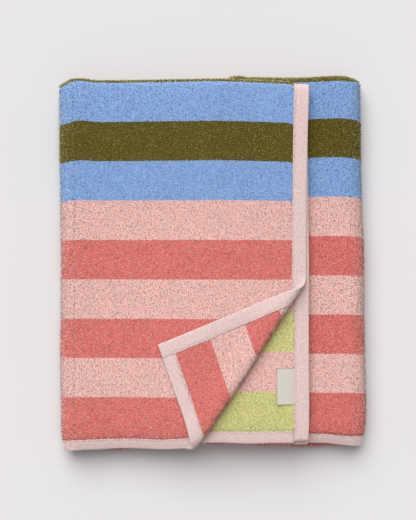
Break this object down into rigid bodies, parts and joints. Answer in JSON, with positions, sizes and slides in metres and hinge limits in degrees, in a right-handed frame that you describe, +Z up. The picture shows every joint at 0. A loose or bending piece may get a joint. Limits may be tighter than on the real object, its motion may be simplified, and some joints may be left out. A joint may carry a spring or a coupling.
{
  "type": "folded bath towel",
  "caption": "Striped terry bath towel with a woven tape binding, folded flat in layers with one corner of the top layer turned back to show its inner face.",
  "frame": {"origin": "on the surface that the towel lies on, under the middle of its folded outline", "axes": "+X across the folded towel towards the free long edge's side, +Y away from the turned-back corner towards the closed back fold, +Z up from the surface"},
  "size_m": [0.2969, 0.3619, 0.0494],
  "materials": {
    "terry": "looped cotton pile in flat stripes of pink, coral, blue, olive and lime",
    "binding_tape": "plain woven pale pink cotton tape, matt",
    "label_cloth": "blank off-white woven label, matt"
  },
  "bodies": {
    "root": {"towel_cloth": "terry", "binding_outer_side": "binding_tape", "binding_inner_side": "binding_tape", "binding_end_a": "binding_tape", "binding_end_b": "binding_tape", "label": "label_cloth"}
  },
  "joints": []
}
